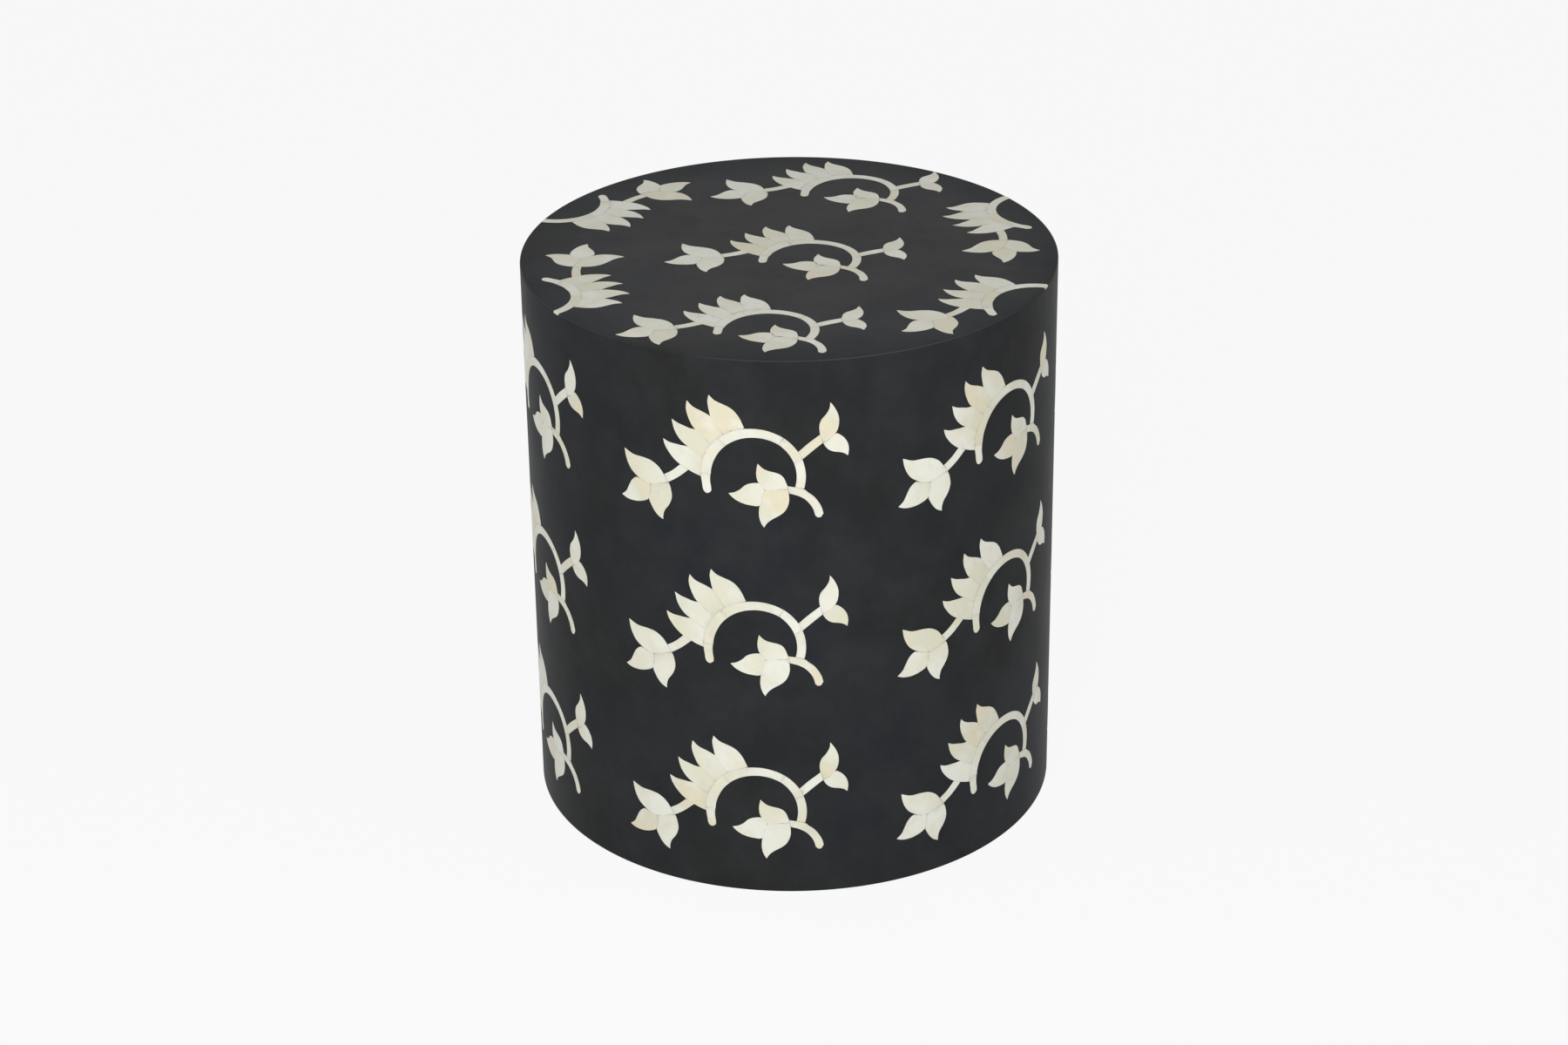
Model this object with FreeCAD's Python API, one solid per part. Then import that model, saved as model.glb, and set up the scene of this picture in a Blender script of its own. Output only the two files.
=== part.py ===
import FreeCAD, Part
import math
import os

# A drum stool covered with bone inlay. Ivory slips of bone, laid as sprigs of buds, leaves and a
# curling stem, are let into a charcoal resin coat and sanded level with it. Under the coat is a
# carcass of upright staves, glued edge to edge and turned round outside, with a many-sided board
# housed in them at the top and at the base.
# Sizes are in millimetres, +Z is up, -Y is the front, and the origin is the middle of the plane
# that the stool stands on.

# Whole stool
drum_diameter = 406.0
stool_height = 442.0

# Coat of resin and bone, both sanded to one level
coat_thickness = 2.5
joint_gap = 0.15  # between a bone sprig and the edge of its pocket

# Carcass
stave_count = 12
stave_thickness = 20.0  # in the middle of a stave, before its edges are turned down
board_thickness = 18.0
glue_line = 0.1

# Felt pads under the base board
pad_count = 4
pad_side = 24.0
pad_thickness = 2.0
pad_inset = 40.0  # from the drum's face to the middle of a pad

# Sprigs around the side, in columns and rows
column_count = 6
row_count = 3
front_column_turn = math.radians(-98.0)  # from +X, to the middle of the stem's arc
foot_margin = 26.4  # from the drum's lower edge to the lowest bud
head_margin = 28.5  # from the top of the stool to the highest leaf
least_row_gap = 12.0
cut_overrun = 1.0

# Outline of a sprig, as shares of its width, about the middle of the stem's arc
sprig_width_share = 0.83  # of the distance between two columns, or less where the rows are close
arc_outer_share = 0.220
arc_inner_share = 0.1775
left_branch_shares = [
    (-0.219, -0.021),
    (-0.274, 0.001),
    (-0.365, -0.069),
    (-0.348, -0.129),
    (-0.392, -0.244),
    (-0.438, -0.214),
    (-0.461, -0.164),
    (-0.549, -0.193),
    (-0.602, -0.177),
    (-0.522, -0.072),
    (-0.565, -0.028),
    (-0.579, 0.047),
    (-0.432, 0.013),
    (-0.385, -0.034),
    (-0.311, 0.020),
]
leaf_crest_shares = [
    (-0.362, 0.068),
    (-0.385, 0.128),
    (-0.277, 0.111),
    (-0.323, 0.159),
    (-0.345, 0.226),
    (-0.241, 0.194),
    (-0.268, 0.320),
    (-0.173, 0.262),
    (-0.176, 0.357),
    (-0.078, 0.299),
]
right_branch_shares = [
    (0.276, 0.192),
    (0.319, 0.338),
    (0.355, 0.261),
    (0.344, 0.197),
    (0.384, 0.164),
    (0.388, 0.089),
    (0.335, 0.109),
    (0.287, 0.151),
]
tail_shares = [
    (0.255, -0.091),
    (0.284, -0.146),
    (0.253, -0.168),
    (0.204, -0.095),
    (0.151, -0.071),
]
inner_bud_shares = [
    (0.143, -0.133),
    (0.044, -0.227),
    (0.025, -0.131),
    (-0.028, -0.128),
    (-0.104, -0.078),
    (-0.023, -0.028),
    (0.023, -0.023),
    (0.018, 0.062),
    (0.052, 0.037),
    (0.104, 0.028),
    (0.142, -0.034),
]
arc_foot_shares = [
    (-0.175, -0.075),
    (-0.211, -0.080),
]
# Turns on the stem's arc in degrees, and how many straight steps make up each stretch of it
crest_end_turn = 98
branch_top_turn = 32
branch_foot_turn = 20
arc_tip_turn = -11
arc_foot_turn = 176
crest_to_branch_steps = 4
branch_to_tip_steps = 2
inner_arc_steps = 8

# Sprigs on the top: name, place as shares of the drum's radius, and turn in degrees
top_sprig_shares = [
    ("centre", 0.075, -0.070, -14.5),
    ("front", -0.084, -0.728, -13.5),
    ("back", 0.237, 0.600, -13.4),
    ("right_front", 0.880, -0.520, 9.4),
    ("right_back", 0.943, 0.394, 57.3),
    ("left_back", -0.875, 0.512, -172.6),
    ("left_front", -0.942, -0.405, -126.5),
]

# Sprigs of the side that the maker laid a little off their even places: row, column, shift across
# and along as shares of the sprig's width, and turn in degrees
laid_off_shares = [
    (0, 0, -0.011, 0.000, 1.0),
    (0, 1, -0.008, -0.001, 1.1),
    (0, 5, -0.031, -0.014, 1.5),
    (1, 0, -0.005, 0.001, 1.0),
    (1, 1, -0.002, -0.004, 0.3),
    (1, 5, -0.020, -0.007, 1.8),
    (2, 0, 0.001, -0.001, 0.3),
    (2, 1, 0.001, -0.005, 0.5),
    (2, 5, -0.004, 0.003, 0.2),
]

# Worked out from the sizes above
drum_radius = drum_diameter / 2
coat_back_radius = drum_radius - coat_thickness
stave_back_distance = coat_back_radius - stave_thickness  # from the drum's middle to a stave's flat back
drum_foot = pad_thickness
side_top = stool_height - coat_thickness
column_turn = 2 * math.pi / column_count
rows_height = stool_height - head_margin - foot_margin - drum_foot
up = FreeCAD.Vector(0, 0, 1)
origin = FreeCAD.Vector(0, 0, 0)


def arc_points(share, start, end, steps):
    # Points on the stem's arc, from one turn to another.
    turns = [math.radians(start + (end - start) * step / steps) for step in range(steps + 1)]
    return [(share * math.cos(turn), share * math.sin(turn)) for turn in turns]


def sprig_shares():
    # The sprig's closed outline: left bud, crest, right bud, tail, inner bud, foot.
    shares = left_branch_shares + leaf_crest_shares
    shares = shares + arc_points(arc_outer_share, crest_end_turn, branch_top_turn, crest_to_branch_steps)
    shares = shares + right_branch_shares
    shares = shares + arc_points(arc_outer_share, branch_foot_turn, arc_tip_turn, branch_to_tip_steps)
    shares = shares + tail_shares + inner_bud_shares
    shares = shares + arc_points(arc_inner_share, arc_tip_turn, arc_foot_turn, inner_arc_steps)
    return shares + arc_foot_shares


def height_of(outline):
    heights = [along for across, along in outline]
    return max(heights) - min(heights)


def sprig_width():
    # As wide as the columns let a sprig be, and no taller than its row.
    tallest = (rows_height - (row_count - 1) * least_row_gap) / row_count
    return min(sprig_width_share * column_turn * drum_radius, tallest / height_of(sprig_shares()))


def sprig_outline():
    return [(across * sprig_width(), along * sprig_width()) for across, along in sprig_shares()]


def laid_by_hand(outline, row, column):
    # The outline shifted and turned about its arc's middle, where the maker laid this sprig off.
    for laid_row, laid_column, across_share, along_share, degrees in laid_off_shares:
        if (laid_row, laid_column) != (row, column):
            continue
        cosine, sine = math.cos(math.radians(degrees)), math.sin(math.radians(degrees))
        right, rise = across_share * sprig_width(), along_share * sprig_width()
        return [
            (right + across * cosine - along * sine, rise + across * sine + along * cosine)
            for across, along in outline
        ]
    return outline


def signed_area(outline):
    pairs = zip(outline, outline[1:] + outline[:1])
    return sum(a[0] * b[1] - b[0] * a[1] for a, b in pairs) / 2


def grown(outline, gap):
    # The outline with each side moved outwards by the gap and mitred with the next one.
    outwards = math.copysign(gap, signed_area(outline))
    points = []
    for before, corner, after in zip(outline[-1:] + outline[:-1], outline, outline[1:] + outline[:1]):
        first = math.atan2(corner[1] - before[1], corner[0] - before[0])
        second = math.atan2(after[1] - corner[1], after[0] - corner[0])
        middle = (first + second) / 2
        reach = outwards / math.cos((second - first) / 2)
        points.append((corner[0] + reach * math.sin(middle), corner[1] - reach * math.cos(middle)))
    return points


def cylinder_surface(radius):
    surface = Part.Cylinder()
    surface.Radius = radius
    return surface


def wrapped_edges(outline, radius):
    # The sides of an outline of (turn, height) points, as edges on an upright cylinder.
    surface = cylinder_surface(radius)
    corners = [FreeCAD.Base.Vector2d(turn, height) for turn, height in outline]
    sides = zip(corners, corners[1:] + corners[:1])
    return [Part.Geom2d.Line2dSegment(start, end).toShape(surface) for start, end in sides]


def closed_wire(edges):
    return Part.Wire(Part.__sortEdges__(edges))


def closed_solid(faces):
    # Sews faces that meet into one closed solid with its faces outwards.
    skin = Part.makeCompound(faces)
    skin.sewShape()
    solid = Part.makeSolid(skin.Shells[0])
    if solid.Volume < 0:
        solid.reverse()
    return solid


def on_side(outline, turn, height):
    # Wraps an outline in millimetres around the drum, as (turn, height) points.
    return [(turn + across / drum_radius, height + along) for across, along in outline]


def wrapped_slip(outline):
    # A slip as thick as the coat, with edges square to the drum's face.
    outer = wrapped_edges(outline, drum_radius)
    inner = wrapped_edges(outline, coat_back_radius)
    faces = []
    for radius, edges in ((drum_radius, outer), (coat_back_radius, inner)):
        face = Part.Face(cylinder_surface(radius), closed_wire(edges))
        face.validate()
        faces.append(face)
    return closed_solid(faces + [Part.makeRuledSurface(*pair) for pair in zip(outer, inner)])


def row_heights(outline):
    # Heights of the rows' arc middles, spread evenly between the margins at the foot and the head.
    lowest = drum_foot + foot_margin - min(along for across, along in outline)
    step = (rows_height - height_of(outline)) / max(1, row_count - 1)
    return [lowest + step * row for row in range(row_count)]


def side_sprigs(outline):
    # One compound of bone sprigs for each row.
    compounds = []
    for row, height in enumerate(row_heights(outline)):
        sprigs = []
        for column in range(column_count):
            laid = laid_by_hand(outline, row, column)
            sprig = wrapped_slip(on_side(laid, math.pi, height))
            turn = front_column_turn - math.pi + column * column_turn
            sprig.rotate(origin, up, math.degrees(turn))
            sprigs.append(sprig)
        compounds.append(Part.makeCompound(sprigs))
    return compounds


def side_wall_face(radius, holes):
    # The drum's side at one radius, with an opening for each hole's wire.
    face = Part.makeCylinder(radius, side_top - drum_foot).Faces[0]
    face.cutHoles([closed_wire(edges) for edges in holes])
    face.validate()
    return face


def resin_side(outline):
    # The coat around the side, with a pocket through it for each sprig. It is made with its seam
    # between two columns of sprigs, and then turned and lifted into place.
    pocket = grown(outline, joint_gap)
    left = -min(across for across, along in pocket) / drum_radius
    right = max(across for across, along in pocket) / drum_radius
    seam_turn = (column_turn + left - right) / 2
    pockets = [
        on_side(laid_by_hand(pocket, row, column), seam_turn + column * column_turn, height - drum_foot)
        for row, height in enumerate(row_heights(outline))
        for column in range(column_count)
    ]
    outer = [wrapped_edges(hole, drum_radius) for hole in pockets]
    inner = [wrapped_edges(hole, coat_back_radius) for hole in pockets]
    faces = [side_wall_face(drum_radius, outer), side_wall_face(coat_back_radius, inner)]
    for height in (0, side_top - drum_foot):
        rims = [Part.Wire(Part.makeCircle(radius, up * height)) for radius in (drum_radius, coat_back_radius)]
        faces += Part.Face(rims[0]).cut(Part.Face(rims[1])).Faces
    for outer_edges, inner_edges in zip(outer, inner):
        faces += [Part.makeRuledSurface(*pair) for pair in zip(outer_edges, inner_edges)]
    sleeve = closed_solid(faces)
    sleeve.rotate(origin, up, math.degrees(front_column_turn - seam_turn))
    sleeve.translate(up * drum_foot)
    return sleeve


def flat_slip(outline, place, overrun):
    # A slip lying in the top coat at a place given as shares of the drum's radius and a turn.
    across_share, along_share, turn = place
    corners = [FreeCAD.Vector(across, along, 0) for across, along in outline]
    slip = Part.Face(Part.makePolygon(corners + corners[:1])).extrude(up * (coat_thickness + 2 * overrun))
    slip.rotate(origin, up, turn)
    slip.translate(FreeCAD.Vector(across_share * drum_radius, along_share * drum_radius, side_top - overrun))
    return slip


def trimmed_slip(outline, place, gap):
    # A slip of the top cut off at the drum's face, or the pocket that keeps a gap around it. Only the
    # largest piece is kept, as the maker leaves out the small ones that the cut sets free.
    cut_height = coat_thickness + 2 * cut_overrun
    disc = Part.makeCylinder(drum_radius + gap, cut_height, up * (side_top - cut_overrun))
    overrun = cut_overrun if gap else 0
    pieces = flat_slip(grown(outline, gap), place, overrun).common(disc).Solids
    return max(pieces, key=lambda piece: piece.Volume)


def top_sprigs(outline):
    return {name: trimmed_slip(outline, place, 0) for name, *place in top_sprig_shares}


def resin_top(outline):
    disc = Part.makeCylinder(drum_radius, coat_thickness, up * side_top)
    return disc.cut([trimmed_slip(outline, place, joint_gap) for name, *place in top_sprig_shares])


def many_sided_prism(back_distance, foot, height):
    # A prism with one flat for each stave, its flats at one distance from the drum's middle.
    half_turn = math.pi / stave_count
    turns = [front_column_turn + (2 * corner + 1) * half_turn for corner in range(stave_count)]
    corner_distance = back_distance / math.cos(half_turn)
    corners = [
        FreeCAD.Vector(corner_distance * math.cos(turn), corner_distance * math.sin(turn), foot)
        for turn in turns
    ]
    return Part.Face(Part.makePolygon(corners + corners[:1])).extrude(up * height)


def board(foot):
    return many_sided_prism(stave_back_distance - glue_line, foot, board_thickness)


def stave(number):
    # One upright stave: flat behind, round in front, with bevelled edges that meet its neighbours.
    half_turn = math.pi / stave_count
    half_back = stave_back_distance * math.tan(half_turn) - glue_line / 2
    reach = coat_back_radius * math.cos(half_turn)
    half_front = half_back + (reach - stave_back_distance) * math.tan(half_turn)
    front = math.sqrt(coat_back_radius**2 - half_front**2)
    corners = [
        FreeCAD.Vector(stave_back_distance, -half_back, drum_foot),
        FreeCAD.Vector(front, -half_front, drum_foot),
        FreeCAD.Vector(front, half_front, drum_foot),
        FreeCAD.Vector(stave_back_distance, half_back, drum_foot),
    ]
    crown = Part.Arc(corners[1], FreeCAD.Vector(coat_back_radius, 0, drum_foot), corners[2]).toShape()
    flats = [Part.makeLine(corners[2], corners[3]), Part.makeLine(corners[3], corners[0])]
    edges = [Part.makeLine(corners[0], corners[1]), crown] + flats
    blank = Part.Face(Part.Wire(edges)).extrude(up * (side_top - drum_foot))
    blank.rotate(origin, up, math.degrees(front_column_turn) + number * 360 / stave_count)
    return blank


def felt_pad(number):
    corner = FreeCAD.Vector(drum_radius - pad_inset - pad_side / 2, -pad_side / 2, 0)
    pad = Part.makeBox(pad_side, pad_side, pad_thickness, corner)
    pad.rotate(origin, up, (number + 1 / 2) * 360 / pad_count)
    return pad


def numbered(name, maker, count):
    return {f"{name}_{number + 1}": maker(number) for number in range(count)}


def build():
    outline = sprig_outline()
    nodes = {"resin_side": resin_side(outline), "resin_top": resin_top(outline)}
    for row, sprigs in enumerate(side_sprigs(outline)):
        nodes[f"side_sprigs_row_{row + 1}"] = sprigs
    for name, sprig in top_sprigs(outline).items():
        nodes[f"top_sprig_{name}"] = sprig
    nodes["top_board"] = board(side_top - board_thickness)
    nodes["base_board"] = board(drum_foot)
    nodes.update(numbered("stave", stave, stave_count))
    nodes.update(numbered("felt_pad", felt_pad, pad_count))
    return nodes


os.makedirs("parts", exist_ok=True)
for node, shape in build().items():
    shape.exportStep(f"parts/{node}.step")
    print(node, "solids", len(shape.Solids), "valid", shape.isValid(), "volume", round(shape.Volume))
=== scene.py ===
# Drum stool covered with bone inlay: a charcoal resin coat with sprigs of bone slips let into it
# flush, over a wooden carcass. Lengths are in metres, or in millimetres where a name or note says
# so.
import math

import bmesh
import bpy
import numpy as np
from mathutils import Matrix, Vector


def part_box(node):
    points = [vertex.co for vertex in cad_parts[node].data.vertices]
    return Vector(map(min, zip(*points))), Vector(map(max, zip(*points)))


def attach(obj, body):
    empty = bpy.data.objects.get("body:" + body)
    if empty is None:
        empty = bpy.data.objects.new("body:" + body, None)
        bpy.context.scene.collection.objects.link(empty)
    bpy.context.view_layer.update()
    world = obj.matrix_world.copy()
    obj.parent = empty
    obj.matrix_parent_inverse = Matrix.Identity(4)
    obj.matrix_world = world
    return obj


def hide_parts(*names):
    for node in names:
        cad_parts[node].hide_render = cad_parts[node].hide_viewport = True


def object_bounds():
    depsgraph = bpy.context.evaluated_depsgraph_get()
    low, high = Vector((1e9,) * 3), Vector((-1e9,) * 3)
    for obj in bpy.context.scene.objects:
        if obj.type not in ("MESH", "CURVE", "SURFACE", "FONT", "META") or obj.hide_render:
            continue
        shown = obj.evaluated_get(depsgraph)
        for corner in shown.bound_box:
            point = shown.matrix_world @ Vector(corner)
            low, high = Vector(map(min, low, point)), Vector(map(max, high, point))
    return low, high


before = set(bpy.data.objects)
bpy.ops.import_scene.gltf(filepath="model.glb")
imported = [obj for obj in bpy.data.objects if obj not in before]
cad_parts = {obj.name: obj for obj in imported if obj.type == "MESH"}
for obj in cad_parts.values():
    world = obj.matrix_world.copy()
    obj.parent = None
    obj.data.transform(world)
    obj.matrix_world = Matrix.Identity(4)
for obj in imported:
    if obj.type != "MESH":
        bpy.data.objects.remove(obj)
cadLow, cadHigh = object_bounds()
mm = 0.001

# The drum as the solids have it
drum = {
    "radius": (cadHigh.x - cadLow.x) / 2,
    "height": cadHigh.z,
    "foot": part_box("resin_side")[0].z,
    "coat": 2.5 * mm,
}

# Camera: where the photograph was taken from, in drum radii, and its angles in radians
view = {
    "distance": 12.627,
    "height": 7.3269,
    "pitch": 0.46108,
    "yaw": -0.002488,
    "roll": -0.012932,
    "focalPixels": 4199.3,
    "framePixels": 1800,
    "sensor": 36.0,
    "seesTo": 50,
}


def placeCamera():
    camera = bpy.data.objects.new("camera", bpy.data.cameras.new("camera"))
    bpy.context.scene.collection.objects.link(camera)
    camera.data.sensor_width = view["sensor"]
    camera.data.lens = view["focalPixels"] / view["framePixels"] * view["sensor"]
    camera.data.clip_end = view["seesTo"]
    pitch, yaw, roll = view["pitch"], view["yaw"], view["roll"]
    ahead = math.cos(pitch)
    forward = np.array([math.sin(yaw) * ahead, math.cos(yaw) * ahead, -math.sin(pitch)])
    level = np.array([math.cos(yaw), -math.sin(yaw), 0])
    upright = np.cross(level, forward)
    right = level * math.cos(roll) + upright * math.sin(roll)
    top = upright * math.cos(roll) - level * math.sin(roll)
    place = np.eye(4)
    place[:3, 0], place[:3, 1], place[:3, 2] = right, top, -forward
    place[:3, 3] = np.array([0, -view["distance"], view["height"]]) * drum["radius"]
    camera.matrix_world = Matrix(place.tolist())
    bpy.context.scene.camera = camera


placeCamera()
print("camera placed")


# Meshes

welding = {"pointsWithin": 0.001 * mm, "edgesBelow": 0.0001 * mm}


def finishMesh(mesh, smoothAngle):
    # Merges points that meet, takes out faces of no area and turns all faces outward. With an angle
    # the mesh is shaded smooth, but for edges sharper than it.
    shape = bmesh.new()
    shape.from_mesh(mesh)
    bmesh.ops.remove_doubles(shape, verts=shape.verts, dist=welding["pointsWithin"])
    bmesh.ops.dissolve_degenerate(shape, edges=shape.edges, dist=welding["edgesBelow"])
    bmesh.ops.recalc_face_normals(shape, faces=shape.faces)
    shape.to_mesh(mesh)
    shape.free()
    if smoothAngle is not None:
        mesh.polygons.foreach_set("use_smooth", np.ones(len(mesh.polygons), bool))
        mesh.set_sharp_from_angle(angle=math.radians(smoothAngle))


def linkPiece(name, mesh):
    piece = bpy.data.objects.new(name, mesh)
    bpy.context.scene.collection.objects.link(piece)
    return piece


def makePiece(name, vertices, faces, smoothAngle=None):
    mesh = bpy.data.meshes.new(name)
    mesh.from_pydata(vertices.tolist(), [], faces.tolist())
    mesh.validate()
    finishMesh(mesh, smoothAngle)
    return linkPiece(name, mesh)


def gridFaces(rows, columns, start=0, wrap=False):
    # Quads between neighbouring rows and columns of a grid. With wrap the last column meets the
    # first.
    strips = columns if wrap else columns - 1
    row, column = np.meshgrid(np.arange(rows - 1), np.arange(strips), indexing="ij")
    after = (column + 1) % columns
    quads = np.stack([row * columns + column, row * columns + after,
                      (row + 1) * columns + after, (row + 1) * columns + column], -1)
    return start + quads.reshape(-1, 4)


def revolved(profile, turns):
    # A profile of (radius, height) points carried round the drum's axis in equal turns.
    angle = np.linspace(0, 2 * np.pi, turns, endpoint=False)
    radius, height = profile[:, :1], profile[:, 1:]
    points = np.stack([radius * np.cos(angle), radius * np.sin(angle), height + 0 * angle], -1)
    return points.reshape(-1, 3), gridFaces(len(profile), turns, wrap=True)


def quarterRound(centre, radius, start, steps=5):
    # Points on a quarter circle that starts at one turn and runs clockwise.
    turn = math.radians(start) - np.linspace(0, math.pi / 2, steps + 1)
    return np.array(centre) + radius * np.stack([np.cos(turn), np.sin(turn)], -1)


# Resin coat

coat = {
    "rimRound": 1.3 * mm,  # rubbed-down edge round the top
    "footRound": 0.7 * mm,
    "belowBone": 0.10 * mm,  # how far the resin lies below the bone's faces
    "offWood": 0.02 * mm,  # gap between the coat and the carcass
    "topRings": 12,
    "wallRings": 9,
    "turns": 384,
    "smoothAngle": 35,
}


def coatProfile():
    # Half of the coat's section, from the middle of the top, over the rim and down to the foot,
    # then back up inside and over the board.
    outer, top = drum["radius"] - coat["belowBone"], drum["height"] - coat["belowBone"]
    inner = drum["radius"] - drum["coat"] + coat["offWood"]
    under = drum["height"] - drum["coat"] + coat["offWood"]
    rim, hem = coat["rimRound"], coat["footRound"]
    across = np.linspace(0, outer - 2 * rim, coat["topRings"])
    down = np.linspace(top - 2 * rim, drum["foot"] + 2 * hem, coat["wallRings"])
    topDisc = np.stack([across, np.full(len(across), top)], -1)
    wall = np.stack([np.full(len(down), outer), down], -1)
    return np.concatenate([
        topDisc,
        quarterRound((outer - rim, top - rim), rim, 90),
        wall,
        quarterRound((outer - hem, drum["foot"] + hem), hem, 0),
        [(inner, drum["foot"]), (inner, under), (0, under)],
    ])


def makeCoat():
    vertices, faces = revolved(coatProfile(), coat["turns"])
    piece = makePiece("resinCoat", vertices, faces, coat["smoothAngle"])
    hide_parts("resin_side", "resin_top")
    return piece


resinCoat = makeCoat()
print("resin coat made")


# Sprig template in millimetres, about the middle of the stem's arc, u to the right and v up. Each
# slip of bone lies between two edges that run from its foot to its tip.

slipOutlines = {
    "budUpper": [
        [(-68.4, -6.3), (-71.4, -2), (-74.5, 0.6), (-78.8, 2.8), (-84.9, 3.8), (-94.3, 4.3),
         (-102.1, 7.5)],
        [(-64.6, -11.6), (-72, -14.2), (-79.9, -16.6), (-85.6, -15.8), (-91.8, -12.4),
         (-95.9, -9.2), (-98.9, -4.7), (-101.1, 1.2), (-102.1, 7.5)],
    ],
    "budLeft": [
        [(-79.9, -16.7), (-85.6, -15.9), (-91.8, -13.7), (-96.1, -16.9), (-99.1, -22.2),
         (-101.7, -27.4), (-106, -31.3)],
        [(-79.9, -16.8), (-80.5, -24.3), (-81.6, -28.8), (-86.5, -31.7), (-91, -33.1),
         (-96.4, -33.7), (-101.8, -33.1), (-106, -31.3)],
    ],
    "budLower": [
        [(-79.8, -16.8), (-80.4, -24.3), (-81.4, -28.9), (-79.6, -33.4), (-77.1, -37.6),
         (-73.4, -41.4), (-69.8, -43.2)],
        [(-64.7, -11.8), (-63.4, -14.6), (-62.4, -19), (-62.1, -22.7), (-63.4, -27.8),
         (-65.7, -31.8), (-68.3, -35.3), (-69.7, -40.2), (-69.8, -43.2)],
    ],
    "stemLeft": [
        [(-68.2, -6.2), (-61.8, -2), (-54.9, 4.2)],
        [(-64.6, -11.7), (-57, -6.6), (-48.4, 0.9)],
    ],
    "leafOne": [
        [(-36.9, 12), (-40.3, 14.3), (-48.7, 19.7), (-52.6, 19.8), (-58, 20.3), (-62.5, 20.7),
         (-68, 22.8)],
        [(-38.6, -2.7), (-43.8, -1), (-48, 0.8), (-54.6, 4.1), (-58.2, 6.7), (-61.2, 9.6),
         (-64.4, 13.7), (-66.9, 18.1), (-68, 22.8)],
    ],
    "leafTwo": [
        [(-30.9, 23.4), (-36.4, 29.2), (-42.6, 34.3), (-45, 34.3), (-51.4, 36), (-56.4, 37.5),
         (-60.7, 39.9)],
        [(-36.9, 12), (-40.3, 14.3), (-48.7, 19.8), (-52.8, 22.7), (-56.5, 27.1), (-58.9, 31.8),
         (-60.7, 39.9)],
    ],
    "leafThree": [
        [(-21.6, 32.2), (-27.2, 40.6), (-30.7, 46.2), (-33.1, 47.5), (-36.4, 49.1),
         (-41.1, 50.8), (-44.4, 52.5), (-48.3, 56.4)],
        [(-30.9, 23.4), (-36.4, 29.2), (-42.6, 34.4), (-44.4, 36.5), (-46.6, 40.9),
         (-48.3, 45.4), (-49.2, 51.1), (-48.3, 56.4)],
    ],
    "leafFour": [
        [(-5.6, 38.6), (-7, 41.9), (-9.1, 46.5), (-11.9, 50.6), (-13.8, 52.6), (-17.6, 55),
         (-21.9, 56.7), (-27.1, 58.9), (-31.5, 63)],
        [(-21.6, 32.2), (-27.2, 40.6), (-30.7, 46.3), (-31.2, 48.9), (-32, 52.7), (-32.6, 58),
         (-31.5, 63)],
    ],
    "stemRight": [
        [(32.9, 20.5), (40, 26.9), (48.8, 33.6)],
        [(35.8, 14.4), (42.6, 20.3), (50.8, 27)],
    ],
    "rightBudUpper": [
        [(48.7, 33.9), (48.3, 36.8), (48.3, 41.1), (49.6, 45.1), (53.2, 49.4), (55.8, 54.4),
         (56.3, 58.8)],
        [(50.9, 27.2), (56.2, 29.8), (60.6, 34.8), (61.8, 37.6), (62.6, 41.9), (62.3, 47.3),
         (60.8, 51.6), (58.8, 55.3), (56.3, 58.8)],
    ],
    "rightBudLower": [
        [(51, 27.1), (56.2, 29.7), (60.8, 33.9), (63.3, 32.5), (65.8, 30.3), (68.5, 26.3),
         (69.7, 21.1), (69, 15.3)],
        [(50.9, 26.7), (52.8, 23.4), (55.4, 20.9), (58.6, 19.4), (62.4, 18.7), (66.1, 17.5),
         (69, 15.3)],
    ],
    "innerUpper": [
        [(24.8, -6.3), (23.8, -3.6), (22.3, 0.1), (20, 2.5), (17.3, 3.8), (13.1, 4.9),
         (8.5, 6.5), (5.7, 8.7), (3.6, 11.1)],
        [(25.4, -9.2), (17, -9.4), (8.4, -10), (3.9, -4.2), (3, -2.1), (2.4, 1.1), (2.6, 6.5),
         (3.6, 11.1)],
    ],
    "innerLeft": [
        [(8.3, -10.1), (3.8, -4.5), (0.9, -4.6), (-2.8, -5.3), (-5.7, -6.6), (-9.7, -10.4),
         (-13.4, -12.7), (-18.3, -14)],
        [(8.4, -10.3), (6.1, -17), (4.3, -22.8), (-1.4, -22.8), (-6, -22), (-10.4, -20.4),
         (-15.2, -17.3), (-18.3, -14)],
    ],
    "innerLower": [
        [(25.4, -9.3), (17, -9.5), (8.5, -10.1), (6.2, -17), (4.4, -23), (4, -25.8),
         (3.9, -30.4), (5, -36), (7.5, -40.5)],
        [(25.8, -12.4), (26, -18.9), (24.8, -23.5), (22.1, -27.8), (17.9, -31), (13.3, -33.7),
         (9.5, -37.1), (7.5, -40.5)],
    ],
    "tail": [
        [(25, -6.7), (30.6, -7.7), (34.5, -8.7), (37.2, -9.5), (38.8, -11.2), (43.6, -15.1),
         (47.5, -20.5), (50.1, -26.4), (50.6, -30.1), (48.9, -32.5)],
        [(26, -12.5), (32.5, -14.6), (37.1, -17.3), (40.1, -20.4), (43, -25), (44.4, -29.3),
         (45.1, -31.7), (46.5, -32.6)],
    ],
    "foot": [
        [(-31.4, 0), (-31.7, -2.7), (-31.6, -7.1), (-31.1, -10.8), (-31.3, -13.9),
         (-33.5, -15.6)],
        [(-38.8, 0), (-38.6, -3.7), (-37.9, -8.8), (-37.4, -12.5), (-36.3, -14.8),
         (-34.7, -15.7)],
    ],
}

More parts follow.
